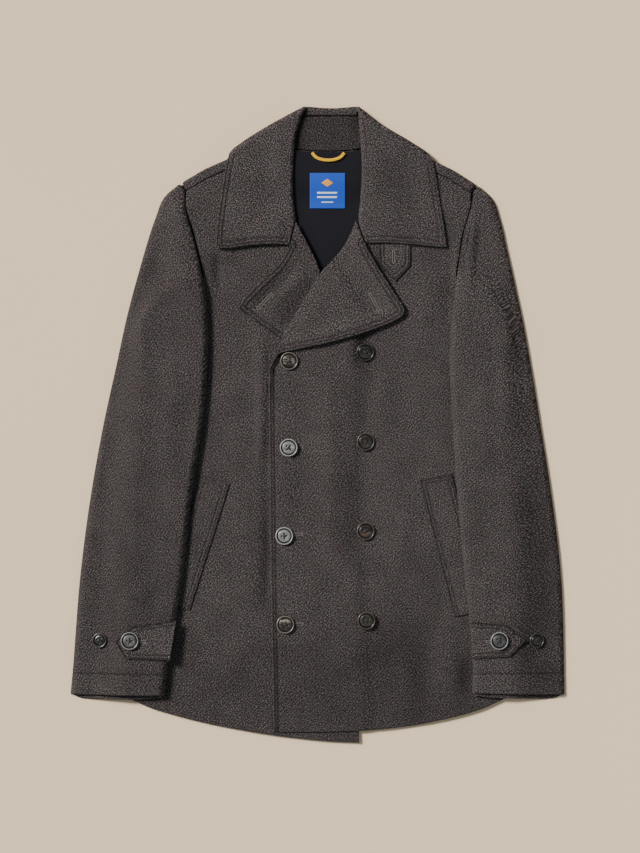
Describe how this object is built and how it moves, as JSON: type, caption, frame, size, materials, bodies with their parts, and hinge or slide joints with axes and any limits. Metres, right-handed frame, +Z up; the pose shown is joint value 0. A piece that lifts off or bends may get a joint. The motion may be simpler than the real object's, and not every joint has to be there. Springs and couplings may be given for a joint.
{
  "type": "pea coat",
  "caption": "Wool pea coat lying flat on its back, buttoned, with wide lapels, folded collar, slanted welt pockets and cuff tabs.",
  "frame": {"origin": "centre of the coat's box, on the surface that it lies on", "axes": "+Y from the hem to the collar, +X to the wearer's left, +Z up from the surface, out of the coat's front"},
  "size_m": [0.6426, 0.8266, 0.0241],
  "materials": {
    "wool_coating": "napped twill, matt",
    "neck_lining": "smooth satin weave, low sheen",
    "loop_cord": "round braided cord",
    "label_cloth": "woven damask",
    "horn_button": "polished imitation horn"
  },
  "bodies": {
    "root": {"back": "wool_coating", "back_lining": "neck_lining", "label": "label_cloth", "hanger_loop": "loop_cord", "collar_stand": "wool_coating", "collar_fall": "wool_coating", "front_right": "wool_coating", "front_left": "wool_coating", "lapel_right": "wool_coating", "lapel_left": "wool_coating", "throat_tab": "wool_coating", "pocket_welt_right": "wool_coating", "pocket_welt_left": "wool_coating", "sleeve_right_upper": "wool_coating", "sleeve_right_under": "wool_coating", "sleeve_left_upper": "wool_coating", "sleeve_left_under": "wool_coating", "cuff_tab_right": "wool_coating", "cuff_tab_left": "wool_coating", "button_right_1": "horn_button", "button_right_2": "horn_button", "button_right_3": "horn_button", "button_right_4": "horn_button", "button_left_1": "horn_button", "button_left_2": "horn_button", "button_left_3": "horn_button", "button_left_4": "horn_button", "button_cuff_right": "horn_button", "button_cuff_left": "horn_button", "button_spare_right": "horn_button", "button_spare_left": "horn_button"}
  },
  "joints": []
}
